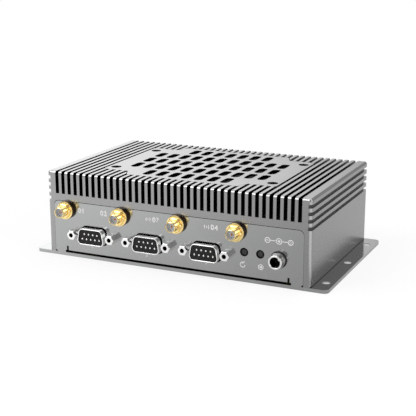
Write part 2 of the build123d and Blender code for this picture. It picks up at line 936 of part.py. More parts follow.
def module_socket():
    # The edge socket in front of the module and the two posts at its back.
    y = module_y - module_depth / 2
    block = Rectangle(module_width, module_socket_depth)
    pieces = [extrude(level(module_x, y, board_top_z) * block, module_lift)]
    for s in (-1, 1):
        x = module_x + s * (module_width / 2 - module_post_inset)
        y = module_y + module_depth / 2 - module_post_inset
        pieces.append(extrude(level(x, y, board_top_z) * Circle(module_post_radius), module_lift))
    return solids(pieces)


def processor_lid():
    lid = RectangleRounded(lid_size, lid_size, 1.5)
    return extrude(level(module_x, module_y, module_top_z) * lid, lid_thickness)


def thermal_pad():
    pad = Rectangle(lid_size, lid_size)
    return extrude(level(module_x, module_y, lid_top_z) * pad, pad_thickness)


def plug_in_card(x, y, width, length, along_x):
    # A card with chips on top. Its edge goes in the socket at its front or left end.
    card = extrude(Rectangle(width, length), card_thickness)
    chip = Pos(0, 0, card_thickness) * Rectangle(width * 0.6, length * 0.55)
    card += extrude(chip, card_chip_height)
    turn = -90 if along_x else 0
    return Pos(x, y, card_low_z) * Rot(0, 0, turn) * card


def card_socket(x, y, width, length, along_x):
    # The socket under the card's edge and the post that takes its screw.
    block = Pos(0, -length / 2 - card_socket_depth / 2) * Rectangle(width, card_socket_depth)
    socket = extrude(block, card_socket_height)
    ledge = Pos(0, -length / 2 + 1) * Rectangle(width, 2)
    socket += extrude(ledge, card_lift)
    post = extrude(Pos(0, length / 2 - card_post_radius) * Circle(card_post_radius), card_lift)
    turn = -90 if along_x else 0
    place = Pos(x, y, board_top_z) * Rot(0, 0, turn)
    return [place * socket, place * post]


def card_sockets():
    pieces = card_socket(ssd_x, ssd_y, card_width, ssd_length, False)
    pieces += card_socket(wifi_x, wifi_y, card_width, wifi_length, True)
    pieces += card_socket(cell_x, cell_y, cell_width, cell_length, False)
    return solids(pieces)


# Sockets at the back.

def lan_port(x):
    at = rear(x, rear_y + socket_reach, board_top_z + lan_height / 2)
    port = extrude(at * Rectangle(lan_width, lan_height), -lan_depth)
    hole = Rectangle(lan_hole_width, lan_hole_height)
    latch = Pos(0, -lan_hole_height / 2 - 0.8) * Rectangle(lan_hole_width / 2, 1.8)
    return port - extrude(at * (hole + latch), -lan_hole_depth)


def usb_port(x):
    at = rear(x, rear_y + socket_reach, board_top_z + usb_height / 2)
    port = extrude(at * Rectangle(usb_width, usb_height), -usb_depth)
    tongue_plane = rear(x, rear_y + socket_reach - 1, board_top_z + usb_height / 2)
    step = usb_height / 2
    for s in (-1, 1):
        hole = Pos(0, s * step / 2) * Rectangle(usb_hole_width, usb_hole_height)
        port -= extrude(at * hole, -usb_hole_depth)
        lift = s * step / 2 + usb_hole_height / 2 - usb_tongue
        tongue = Pos(0, lift) * Rectangle(usb_hole_width - 1.2, usb_tongue)
        port += extrude(tongue_plane * tongue, -usb_hole_depth)
    return port


def hdmi_port():
    half = hdmi_width / 2
    low = -hdmi_height / 2
    foot = half - 1.6
    outline = make_face(
        Polyline((-foot, low), (foot, low), (half, low + 1.6), (half, -low),
                 (-half, -low), (-half, low + 1.6), close=True)
    )
    at = rear(hdmi_x, rear_y + socket_reach, board_top_z + hdmi_height / 2)
    port = extrude(at * outline, -hdmi_depth)
    port -= extrude(at * offset(outline, -hdmi_wall), -hdmi_depth + 2)
    inner = rear(hdmi_x, rear_y + socket_reach - 1, board_top_z + hdmi_height / 2)
    tongue = Rectangle(hdmi_width - 3.4, hdmi_tongue)
    return port + extrude(inner * tongue, -hdmi_depth + 2)


# Leads from the antenna jacks to the two radio cards.

def lead_targets():
    # Two plugs at the free end of one card and two at the right edge of the other.
    wifi_end = wifi_x + wifi_length / 2 - lead_plug_inset
    cell_edge = cell_x + cell_width / 2 - lead_plug_inset
    spots = [
        (wifi_end, wifi_y + lead_plug_pitch / 2), (wifi_end, wifi_y - lead_plug_pitch / 2),
        (cell_edge, cell_y - lead_plug_pitch), (cell_edge, cell_y - lead_plug_pitch / 2),
    ]
    return [(x, y, card_top_z) for x, y in spots]


def lead_path(k):
    x = jack_x[k]
    start = (x, panel_in_y + jack_back_length + jack_tail_length, jack_z)
    tx, ty, tz = lead_targets()[k]
    second = (x, start[1] + lead_run_back, jack_z)
    top = (tx, ty, tz + lead_plug_height + lead_run_back)
    end = (tx, ty, tz + lead_plug_height)
    return [Vector(*p) for p in (start, second, top, end)]


def antenna_lead(k):
    points = lead_path(k)
    radii = []
    for a, b, c in zip(points, points[1:], points[2:]):
        turn = radians((b - a).get_angle(c - b))
        shorter = min((b - a).length, (c - b).length)
        radii.append(0.45 * shorter / tan(turn / 2))
    path = FilletPolyline(*points, radius=radii)
    print("lead", k + 1, "radii", [round(r, 1) for r in radii], "length", round(path.length, 1))
    start = Plane(origin=points[0], z_dir=points[1] - points[0])
    lead = sweep(start * Circle(lead_radius), path)
    area = 3.14159265 * lead_radius ** 2
    print("  volume over section times length", round(lead.volume / (area * path.length), 4))
    return lead


def lead_plugs():
    return solids(
        extrude(level(x, y, z) * Circle(lead_plug_radius), lead_plug_height)
        for x, y, z in lead_targets()
    )


save(heatsink_cover(), "heatsink_cover")
save(fan_grille_plate(), "fan_grille_plate")
save(grille_screws(), "grille_screws")
save(fan_frame(), "fan_frame")
save(fan_rotor(), "fan_rotor")
save(fan_screws(), "fan_screws")
save(base_tray(), "base_tray")
save(base_screws(), "base_screws")

for k, x in enumerate(jack_x):
    save(antenna_jack(x), f"antenna_jack_{k + 1}")
    save(antenna_lead(k), f"antenna_lead_{k + 1}")
save(antenna_insulators(), "antenna_insulators")
save(antenna_contacts(), "antenna_contacts")
save(antenna_seal_rings(), "antenna_seal_rings")
save(antenna_washers(), "antenna_washers")
save(antenna_hex_nuts(), "antenna_hex_nuts")
save(lead_plugs(), "antenna_lead_plugs")

for k, x in enumerate(port_x):
    save(serial_port_shell(x), f"serial_port_{k + 1}_shell")
    save(serial_port_insulator(x), f"serial_port_{k + 1}_insulator")
    save(serial_port_contacts(x), f"serial_port_{k + 1}_contacts")
    save(serial_port_jackscrews(x), f"serial_port_{k + 1}_jackscrews")

save(button(reset_x), "reset_button")
save(button(recovery_x), "recovery_button")
save(push_switch(reset_x), "reset_switch")
save(push_switch(recovery_x), "recovery_switch")

save(dc_jack_barrel(), "dc_jack_barrel")
save(dc_jack_seal(), "dc_jack_seal")
save(dc_jack_body(), "dc_jack_body")
save(dc_jack_pin(), "dc_jack_pin")

save(carrier_board(), "carrier_board")
save(board_standoffs(), "board_standoffs")
save(board_screws(), "board_screws")
save(compute_module(), "compute_module")
save(module_socket(), "module_socket")
save(processor_lid(), "processor_lid")
save(thermal_pad(), "thermal_pad")
save(card_sockets(), "card_sockets")
save(plug_in_card(ssd_x, ssd_y, card_width, ssd_length, False), "ssd_card")
save(plug_in_card(wifi_x, wifi_y, card_width, wifi_length, True), "wifi_card")
save(plug_in_card(cell_x, cell_y, cell_width, cell_length, False), "cellular_card")

save(lan_port(lan_x[0]), "lan_port_1")
save(lan_port(lan_x[1]), "lan_port_2")
save(usb_port(usb_x[0]), "usb_port_1")
save(usb_port(usb_x[1]), "usb_port_2")
save(hdmi_port(), "hdmi_port")
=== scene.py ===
"""Looks of a finned edge computer, laid out as a Blender add-on and run as a script."""

import math

import bmesh
import bpy
import numpy as np
from bpy.props import FloatProperty, FloatVectorProperty, PointerProperty
from mathutils import Matrix, Vector


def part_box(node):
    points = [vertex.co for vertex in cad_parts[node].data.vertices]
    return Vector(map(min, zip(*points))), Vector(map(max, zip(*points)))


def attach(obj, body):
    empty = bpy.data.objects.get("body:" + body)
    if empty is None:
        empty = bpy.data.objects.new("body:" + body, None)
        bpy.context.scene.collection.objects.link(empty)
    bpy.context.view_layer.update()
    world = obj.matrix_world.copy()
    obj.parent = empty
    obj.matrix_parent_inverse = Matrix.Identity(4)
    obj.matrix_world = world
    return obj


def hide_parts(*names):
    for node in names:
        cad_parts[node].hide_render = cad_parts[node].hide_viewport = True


bl_info = {
    "name": "Edge computer looks",
    "version": (1, 0, 0),
    "blender": (4, 5, 0),
    "location": "3D View > Sidebar > Edge computer",
    "description": "Finishes, threads, marks and stage for a finned edge computer",
    "category": "Object",
}

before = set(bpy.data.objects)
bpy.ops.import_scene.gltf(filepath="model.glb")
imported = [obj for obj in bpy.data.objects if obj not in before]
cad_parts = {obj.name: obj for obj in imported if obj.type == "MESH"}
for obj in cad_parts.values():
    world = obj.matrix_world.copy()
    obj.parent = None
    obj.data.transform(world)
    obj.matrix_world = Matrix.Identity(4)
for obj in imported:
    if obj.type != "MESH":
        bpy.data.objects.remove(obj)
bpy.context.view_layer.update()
MM = 0.001
BODY = "enclosure"
JACKS = [f"antenna_jack_{k}" for k in (1, 2, 3, 4)]
PORTS = [f"serial_port_{k}" for k in (1, 2, 3)]

# Lengths of the CAD model that no node's box gives
PANEL_Y = -50 * MM
FIN_PITCH = 4 * MM
FIN_HEIGHT = 13 * MM
FIN_ROUNDING = 1.5 * MM
OUTER_FIN = 5.5 * MM
FLANGE_HOLE_X = 85.3 * MM
FLANGE_HOLE_SPACING = 38 * MM
FLANGE_HOLE_RADIUS = 2.25 * MM
INLET_THREAD_PITCH = 0.95 * MM

# The angle over which an edge is sharp and gets broken
SHARP = math.radians(35)


# Sizes and colours

def colour_value(name, description, default):
    return FloatVectorProperty(
        name=name, description=description, subtype="COLOR", size=3, min=0, max=1,
        default=default,
    )


def length_value(name, description, default):
    return FloatProperty(
        name=name, description=description, subtype="DISTANCE", unit="LENGTH",
        min=0, precision=5, default=default,
    )


class EdgeColours(bpy.types.PropertyGroup):
    cover: colour_value("Cover", "Anodised aluminium with fins", (0.34, 0.34, 0.34))
    plate: colour_value("Grille plate", "Bright sheet over the fan", (0.35, 0.35, 0.35))
    tray: colour_value("Base tray", "Zinc grey of the base", (0.385, 0.393, 0.389))
    gold: colour_value("Gold", "Plating of the antenna jacks", (1.0, 0.74, 0.32))
    seal: colour_value("Seal", "Glossy ring behind each jack", (0.045, 0.026, 0.010))
    copper: colour_value("Copper", "Centre contacts of the jacks", (0.70, 0.20, 0.03))
    nickel: colour_value("Nickel", "Shells, jackscrews, barrel", (0.92, 0.92, 0.91))
    tin: colour_value("Tin", "Contacts of the serial ports", (0.90, 0.88, 0.84))
    insulator: colour_value("Insulator", "Inside of the jacks", (0.60, 0.60, 0.60))
    black: colour_value("Black plastic", "Port bodies and seals", (0.012, 0.012, 0.013))
    # Painted shade: near-black for the cups that line the jackscrews' bores
    bore: colour_value("Bore", "Dark depth of the jackscrews", (0.004, 0.004, 0.004))
    button: colour_value("Button", "Caps of the push buttons", (0.03, 0.03, 0.031))
    fan: colour_value("Fan", "Grey plastic of the fan", (0.045, 0.045, 0.047))
    screw: colour_value("Screw", "Blackened steel screws", (0.008, 0.008, 0.008))
    pad: colour_value("Thermal pad", "Soft pad on the processor", (0.35, 0.42, 0.52))
    board: colour_value("Board", "Solder mask of the boards", (0.012, 0.10, 0.045))
    mark: colour_value("Mark", "Printed numbers and signs", (0.95, 0.95, 0.95))


class EdgeSizes(bpy.types.PropertyGroup):
    edge: length_value("Edge", "Broken edge of the sheet metal", 0.15 * MM)
    fin_edge: length_value("Fin edge", "Broken edge of the fins", 0.04 * MM)
    thread_pitch: length_value("Thread pitch", "Pitch of the antenna thread", 0.7056 * MM)
    thread_depth: length_value("Thread depth", "Depth of the antenna thread", 0.2 * MM)
    mark_height: length_value("Mark height", "Height of the printed numbers", 2.9 * MM)
    mark_stroke: length_value("Mark stroke", "Line width of the printed signs", 0.48 * MM)
    mark_lift: length_value("Mark lift", "How far a mark stands off the panel", 0.02 * MM)
    floor_width: length_value("Floor width", "Width of the floor", 3.0)


def colours():
    return bpy.context.scene.edge_colours


def sizes():
    return bpy.context.scene.edge_sizes


# Shader maths

class Wire:
    """One output socket or number, so that shader maths reads as Python."""

    def __init__(self, paint, socket):
        self.paint = paint
        self.socket = socket

    def math(self, operation, other=None, swap=False):
        values = [self] if other is None else [other, self] if swap else [self, other]
        node = self.paint.node("Math", {"operation": operation}, dict(enumerate(values)))
        return Wire(self.paint, node.outputs[0])

    def __add__(self, other):
        return self.math("ADD", other)

    __radd__ = __add__

    def __sub__(self, other):
        return self.math("SUBTRACT", other)

    def __rsub__(self, other):
        return self.math("SUBTRACT", other, swap=True)

    def __mul__(self, other):
        return self.math("MULTIPLY", other)

    def __pow__(self, other):
        return self.math("POWER", other)

    def above(self, other):
        """The greater of two values."""
        return self.math("MAXIMUM", other)

    def size(self):
        """The value without its sign."""
        return self.math("ABSOLUTE")

    def __gt__(self, other):
        return self.math("GREATER_THAN", other)

    def __lt__(self, other):
        return self.math("LESS_THAN", other)

    def step(self, low, high, to_low=0.0, to_high=1.0):
        """Smooth step from to_low at low up to to_high at high."""
        node = self.paint.node(
            "MapRange", {"interpolation_type": "SMOOTHSTEP"},
            {"Value": self, "From Min": low, "From Max": high, "To Min": to_low,
             "To Max": to_high},
        )
        return Wire(self.paint, node.outputs["Result"])


class Paint:
    """A material with a Principled shader, built node by node."""

    def __init__(self, name, **constants):
        self.material = bpy.data.materials.new(name)
        self.material.use_nodes = True
        self.tree = self.material.node_tree
        self.shader = self.tree.nodes["Principled BSDF"]
        for key, value in constants.items():
            self.set(key.replace("_", " "), value)

    def set(self, socket, value):
        self.feed(self.shader.inputs[socket], value)

    def feed(self, socket, value):
        if isinstance(value, Wire):
            self.tree.links.new(value.socket, socket)
        elif socket.type == "RGBA" and len(value) == 3:
            socket.default_value = (*value, 1)
        else:
            socket.default_value = value

    def node(self, kind, settings=None, inputs=None):
        """Adds a node of that kind: settings first, then its sockets' values or wires."""
        node = self.tree.nodes.new("ShaderNode" + kind)
        for key, value in (settings or {}).items():
            setattr(node, key, value)
        for key, value in (inputs or {}).items():
            self.feed(node.inputs[key], value)
        return node

    def place(self, stretch=(1, 1, 1)):
        """Object coordinates, stretched along each axis."""
        coordinates = Wire(self, self.node("TexCoord").outputs["Object"])
        mapped = self.node("Mapping", None, {"Vector": coordinates, "Scale": stretch})
        return Wire(self, mapped.outputs["Vector"])

    def axes(self):
        """The three object coordinates, each as a wire."""
        split = self.node("SeparateXYZ", None, {0: self.place()})
        return [Wire(self, split.outputs[axis]) for axis in "XYZ"]

    def rays(self, *kinds):
        """For each kind of ray a wire that is one for it and zero for the others."""
        path = self.node("LightPath")
        return [Wire(self, path.outputs[kind]) for kind in kinds]

    def noise(self, where, scale, detail=3.0, roughness=0.55):
        node = self.node(
            "TexNoise", None,
            {"Vector": where, "Scale": scale, "Detail": detail, "Roughness": roughness},
        )
        return Wire(self, node.outputs["Fac"])

    def mix(self, amount, first, second):
        """A colour between two colours."""
        node = self.node(
            "Mix", {"data_type": "RGBA"},
            {"Factor": amount, 6: first, 7: second},
        )
        return Wire(self, node.outputs[2])

    def bump(self, height, distance, strength=1.0):
        node = self.node(
            "Bump", None, {"Height": height, "Distance": distance, "Strength": strength}
        )
        self.set("Normal", Wire(self, node.outputs["Normal"]))


class Sky(Paint):
    """The world's shader, built in the same way."""

    def __init__(self, world):
        self.tree = world.node_tree
        self.shader = self.tree.nodes["Background"]
        self.set("Color", (1, 1, 1))

    def patch(self, middle, low, high):
        """A soft round patch about a direction: zero where the cosine of the angle to
        the middle is under low, one where it is over high."""
        ways = Wire(self, self.node("TexCoord").outputs["Generated"])
        near = self.node(
            "VectorMath", {"operation": "DOT_PRODUCT"},
            {0: ways, 1: tuple(Vector(middle).normalized())},
        )
        return Wire(self, near.outputs["Value"]).step(low, high)


def rgba(colour, gain=1.0):
    return (*[min(1.0, c * gain) for c in colour[:3]], 1.0)


def metal(name, colour, rough, grain, spread=0.06, cloud=0.06, bump=0.004, sway=0.05,
          where=None, gain=1.0):
    """A metal whose fine grain and faint clouds vary its tone, gloss and relief.

    Where a pattern is one, the tone is the colour times gain: painted shade, as deep in a
    gap, where the gain is under one, and painted light where it is over."""
    paint = Paint(name, Metallic=1.0)
    fine = paint.noise(paint.place((grain, grain, grain)), 1.0, 2.0)
    broad = paint.noise(paint.place(), 45.0, 2.0)
    tone = fine * 0.5 + broad * 0.5
    shown = paint.mix(tone.step(0.3, 0.7), rgba(colour, 1 - cloud),
                      rgba(colour, 1 + cloud))
    if where:
        shown = paint.mix(where(paint), shown, rgba(colour, gain))
    paint.set("Base Color", shown)
    paint.set("Roughness",
              fine * (2 * spread) + (rough - spread) + (broad - 0.5) * sway)
    paint.bump(fine, bump * MM, 0.5)
    return paint.material


def smooth_metal(name, colour, rough, where, gain, cloud=0.03):
    """A metal with a finer grain and a pattern, for the large faces and the shells. The
    pattern paints shade where the gain is under one and light where it is over.
    """
    return metal(name, colour, rough, 900, 0.03, cloud, 0.0006, 0.04, where, gain)


def fin_gap_painted_shade(paint):
    """Painted shade: one in the gaps of the finned cover and on the line at its side
    walls' foot, where the cover's tone is darkened as if in shade.

    Seen from the side, the fins' outline is a box whose front and rear top edges are
    rounded, so a point's depth under it is the rounding's radius less the distance from
    the rounding's centre line. Only the fins' own stretch of the width counts. The
    fins' narrow rims, over 0.9 mm from a fin's middle, get the same painted shade, which
    makes the gaps look wider. The line at the walls' foot is a painted shadow where the
    cover sits on the flange."""
    low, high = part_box("heatsink_cover")
    x, y, z = paint.axes()
    ahead = (y.size() - (high.y - FIN_ROUNDING)).above(0.0)
    over = (z - (high.z - FIN_ROUNDING)).above(0.0)
    depth = FIN_ROUNDING - (ahead * ahead + over * over) ** 0.5
    inside = (x.size() < (high.x - OUTER_FIN)) * (z > (high.z - FIN_HEIGHT))
    from_middle = x.math("PINGPONG", FIN_PITCH / 2)
    rim = from_middle.step(0.86 * MM, 0.92 * MM)
    # Painted shade deep in the fins' gaps and on the fins' rims
    gaps = depth.step(0.02 * MM, 0.07 * MM).above(rim) * inside
    # Painted shadow along the side walls' foot
    side = x.size() > (high.x - 0.6 * MM)
    foot = z.step(low.z + 0.5 * MM, low.z + 0.35 * MM)
    return gaps + side * foot


def grille_painted_shade(paint):
    """Painted shade: one on the walls of the grille's openings and screw seats, below its
    face, where the plate is darkened as if in shade.

    A margin leaves out the plate's ends and its tongues' ends."""
    low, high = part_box("fan_grille_plate")
    middle, half = (low + high) / 2, (high - low) / 2
    end_margin, tongue_margin = 1 * MM, 3 * MM
    x, y, z = paint.axes()
    along = (x - middle.x).size() < (half.x - end_margin)
    across = (y - middle.y).size() < (half.y - tongue_margin)
    return z.step(high.z - 0.08 * MM, high.z - 0.18 * MM) * along * across


def thread_painted_shade(paint):
    """Painted shade on the power barrel behind its bright rim: dark bands along Y, one a
    pitch, for the shade in its thread.
    """
    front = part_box("dc_jack_barrel")[0].y
    y = paint.axes()[1]
    turns = (y - front) * (2 * math.pi / INLET_THREAD_PITCH)
    bands = turns.math("SINE") * 0.35 + 0.5
    return y.step(front + 0.7 * MM, front + 0.9 * MM) * bands


def flange_hole_painted_light(paint):
    """Painted light: one low on the cut edges of the flanges' holes, three in a row on
    each side, which are lightened as if lit by the bright floor below.
    """
    x, y, z = paint.axes()
    across = x.size() - FLANGE_HOLE_X
    along = y.math("PINGPONG", FLANGE_HOLE_SPACING / 2)
    from_axis = (across * across + along * along) ** 0.5
    inside = from_axis < FLANGE_HOLE_RADIUS + 0.15 * MM
    return z.step(1.7 * MM, 1.1 * MM) * inside


def panel_gap_painted_shade(paint):
    """Painted shade: one where a point lies in the gap behind the front panel's face,
    which is darkened as if in shade there.
    """
    return paint.axes()[1].step(PANEL_Y + 0.15 * MM, PANEL_Y + 0.7 * MM)


def plastic(name, colour, rough, shine=0.5, where=None):
    """A moulded plastic with a fine eroded texture, black as painted shade where a
    pattern is one.
    """
    paint = Paint(name, Specular_IOR_Level=shine)
    fine = paint.noise(paint.place(), 1500.0, 3.0)
    broad = paint.noise(paint.place(), 60.0, 2.0)
    shown = paint.mix(broad, rgba(colour, 0.85), rgba(colour, 1.15))
    if where:
        shown = paint.mix(where(paint), shown, (0.001, 0.001, 0.001, 1))
    paint.set("Base Color", shown)
    paint.set("Roughness", fine * 0.2 + (rough - 0.1))
    paint.bump(fine, 0.02 * MM, 0.4)
    return paint.material


def circuit(name, colour):
    """Solder mask over copper: square cells for parts and faint lines for tracks."""
    paint = Paint(name)
    where = paint.place((1, 1, 0))
    cells = paint.node(
        "TexVoronoi", {"feature": "F1", "distance": "CHEBYCHEV"},
        {"Vector": where, "Scale": 260.0, "Randomness": 0.9},
    )
    cell = Wire(paint, cells.outputs["Distance"])
    tracks = paint.node(
        "TexWave", {"wave_type": "BANDS", "bands_direction": "DIAGONAL"},
        {"Vector": where, "Scale": 330.0, "Distortion": 5.0, "Detail": 1.0},
    )
    track = Wire(paint, tracks.outputs["Fac"]).step(0.45, 0.6)
    mask = paint.mix(track, rgba(colour, 0.8), rgba(colour, 1.5))
    pads = cell.step(0.24, 0.2)
    paint.set("Base Color", paint.mix(pads, mask, (0.10, 0.10, 0.09, 1)))
    paint.set("Roughness", 0.35 + pads * 0.2)
    paint.bump(pads, 0.2 * MM, 0.6)
    return paint.material


MATERIALS = {}


def make_materials():
    c = colours()
    MATERIALS.update(
        # Painted shade darkens the cover in its fins' gaps and at its walls' foot
        cover=smooth_metal("anodised_cover", c.cover, 0.28, fin_gap_painted_shade, 0.02),
        # Painted shade darkens the plate's openings and screw seats
        plate=smooth_metal("bright_plate", c.plate, 0.34, grille_painted_shade, 0.03, 0.06),
        # Painted light brightens the tray low in its flange holes
        tray=smooth_metal("zinc_tray", c.tray, 0.14, flange_hole_painted_light, 2.4),
        gold=metal("gold_plate", c.gold, 0.16, 1500, 0.03, bump=0.0005),
        copper=metal("contact_copper", c.copper, 0.3, 1500, 0.05),
        nickel=metal("nickel_plate", c.nickel, 0.16, 1200, 0.05, bump=0.001),
        # Painted shade darkens the shells behind the panel's face
        shell=smooth_metal("shell_nickel", c.nickel, 0.16, panel_gap_painted_shade, 0.01),
        # Painted shade in dark bands on the barrel behind its rim
        barrel=smooth_metal("barrel_nickel", c.nickel, 0.2, thread_painted_shade, 0.25),
        pin=metal("contact_tin", c.tin, 0.25, 1500, 0.05),
        screw=plastic("black_screw", c.screw, 0.6, shine=0.0),
        insulator=plastic("grey_insulator", c.insulator, 0.5),
        black=plastic("black_plastic", c.black, 0.5, shine=0.25),
        seal=metal("dark_seal", c.seal, 0.15, 500, 0.08, 0.7, 0.01),
        # Painted shade blackens the button caps behind the panel's face
        button=plastic("button_cap", c.button, 0.5, where=panel_gap_painted_shade),
        # Painted shade: the near-black lining of the jackscrews' bores
        bore=plastic("bore_painted_shade", c.bore, 0.8, shine=0.1),
        fan=plastic("fan_grey", c.fan, 0.6, shine=0.1),
        pad=plastic("thermal_pad", c.pad, 0.7),
        board=circuit("solder_mask", c.board),
        mark=plastic("printed_mark", c.mark, 0.6),
    )


# Surfaces

def grid(points, wrap=True, caps=(False, False)):
    """Faces of a grid of points, shaped (rows, columns, 3).

    Row i, column j joins to its neighbours; wrap closes the columns into rings, and a
    cap closes the first or the last ring with one face."""
    rows, columns = points.shape[:2]
    index = np.arange(rows * columns).reshape(rows, columns)
    right = np.roll(index, -1, axis=1)
    span = columns if wrap else columns - 1
    quads = np.stack(
        [index[:-1, :span], right[:-1, :span], right[1:, :span], index[1:, :span]], -1
    ).reshape(-1, 4)
    faces = quads.tolist()
    if caps[0]:
        faces.append(index[0, ::-1].tolist())
    if caps[1]:
        faces.append(index[-1].tolist())
    return points.reshape(-1, 3), faces


def join(parts):
    """Several (points, faces) lists as one."""
    points = np.concatenate([p for p, _ in parts])
    faces, start = [], 0
    for p, f in parts:
        faces += [[i + start for i in face] for face in f]
        start += len(p)
    return points, faces


def coat(mesh, material):
    """Gives a mesh one material in the place of any other."""
    mesh.materials.clear()
    mesh.materials.append(MATERIALS[material])


def placed(name, data):
    """An object of that mesh, curve, lamp or camera data, linked to the scene."""
    obj = bpy.data.objects.new(name, data)
    bpy.context.scene.collection.objects.link(obj)
    return obj


def piece(name, shape, material, smooth=40.0):
    """A finished piece in metres, faces outward, whose object sits at the origin."""
    points, faces = shape
    mesh = bpy.data.meshes.new(name)
    mesh.from_pydata(points.tolist(), [], faces)
    work = bmesh.new()
    work.from_mesh(mesh)
    bmesh.ops.remove_doubles(work, verts=work.verts, dist=1e-7)
    bmesh.ops.recalc_face_normals(work, faces=work.faces)
    work.to_mesh(mesh)
    work.free()
    mesh.update()
    mesh.shade_smooth()
    mesh.set_sharp_from_angle(angle=math.radians(smooth))
    coat(mesh, material)
    obj = placed(name, mesh)
    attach(obj, BODY)
    return obj


def dressed(node, material, edge, body=BODY, segments=2):
    """A merged copy of a CAD node with its sharp edges broken, which stands for it."""
    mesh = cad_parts[node].data.copy()
    mesh.name = node + "_dressed"
    work = bmesh.new()
    work.from_mesh(mesh)
    bmesh.ops.remove_doubles(work, verts=work.verts, dist=2e-6)
    bmesh.ops.dissolve_limit(
        work, angle_limit=math.radians(0.3), verts=work.verts, edges=work.edges
    )
    work.to_mesh(mesh)
    work.free()
    mesh.shade_smooth()
    mesh.set_sharp_from_angle(angle=SHARP)
    coat(mesh, material)
    obj = placed(mesh.name, mesh)
    bevel = obj.modifiers.new("edges", "BEVEL")
    bevel.width = edge
    bevel.segments = segments
    bevel.limit_method = "ANGLE"
    bevel.angle_limit = SHARP
    even = obj.modifiers.new("even", "WEIGHTED_NORMAL")
    even.weight = 100
    even.keep_sharp = True
    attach(obj, body)
    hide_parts(node)


def finish_node(node, material):
    """Gives a CAD node its material as it stands."""
    coat(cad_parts[node].data, material)


def about(centre, radius, y, turn):
    """Points round the line along Y through a centre.

    A point at turn t is at x = radius cos t and z = radius sin t from the centre."""
    radius, y, turn = np.broadcast_arrays(radius, y, turn)
    x = centre[0] + radius * np.cos(turn)
    z = centre[2] + radius * np.sin(turn)
    return np.stack([x, y, z], -1)


def turned(profile, centre, around=64, caps=(True, True), closed=False):
    """A profile of (radius, y) turned about the line along Y through a centre.

    A closed profile ends where it starts."""
    profile = np.asarray(list(profile) + list(profile[:1] if closed else []), float)
    turn = np.linspace(0, 2 * np.pi, around, endpoint=False)
    return grid(about(centre, profile[:, :1], profile[:, 1:], turn), True, caps)


def hex_radius(turn, across):
    """Distance from a hexagon's centre to its side at each turn."""
    sector = np.mod(turn, np.pi / 3) - np.pi / 6
    return across / 2 / np.cos(sector)


def hex_bar(centre, front, back, across, bore, chamfer):
    """A hexagonal bar along Y with a round bore, its corners cut by a cone at the ends.

    The outer radius is the hexagon's, held under the cone's: that grows over the
    chamfer's length from a little under the flats to a little over the corners."""
    turn = np.linspace(0, 2 * np.pi, 96, endpoint=False) + np.pi / 6
    side = hex_radius(turn, across)
    face, wide = across / 2 - chamfer * 0.3, across / 2 * 1.17
    cone = [(np.minimum(side, face + part * (wide - face)), part * chamfer)
            for part in np.linspace(0, 1, 4)]
    steps = [(bore, front), (face, front)]
    steps += [(radius, front + deep) for radius, deep in cone]
    steps += [(radius, back - deep) for radius, deep in reversed(cone)]
    steps += [(face, back), (bore, back), (bore, front)]
    return grid(np.array([about(centre, radius, y, turn) for radius, y in steps]))


def beam(x, rows):
    """A bar along Y, closed at both ends, from rows of (y, z, width, height)."""
    across = np.array([-0.5, 0.5, 0.5, -0.5])
    up = np.array([-0.5, -0.5, 0.5, 0.5])
    points = [np.stack([x + across * width, np.full(4, y), z + up * height], -1)
              for y, z, width, height in rows]
    return grid(np.array(points), True, (True, True))


def node_centre(node):
    low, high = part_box(node)
    return (low + high) / 2


# Pieces

class EDGE_OT_case(bpy.types.Operator):
    """Finish the finned cover, the base tray and the grille plate"""

    bl_idname = "edge.case"
    bl_label = "Case"

    def execute(self, context):
        s = sizes()
        dressed("heatsink_cover", "cover", s.fin_edge)
        dressed("base_tray", "tray", s.edge)
        dressed("fan_grille_plate", "plate", s.edge)
        for node in ("grille_screws", "base_screws"):
            dressed(node, "screw", 0.12 * MM)
        return {"FINISHED"}


class EDGE_OT_fan(bpy.types.Operator):
    """Finish the fan frame, its rotor and screws"""

    bl_idname = "edge.fan"
    bl_label = "Fan"

    def execute(self, context):
        dressed("fan_frame", "fan", 0.2 * MM)
        dressed("fan_rotor", "fan", 0.12 * MM, "fan_rotor")
        dressed("fan_screws", "screw", 0.1 * MM)
        return {"FINISHED"}


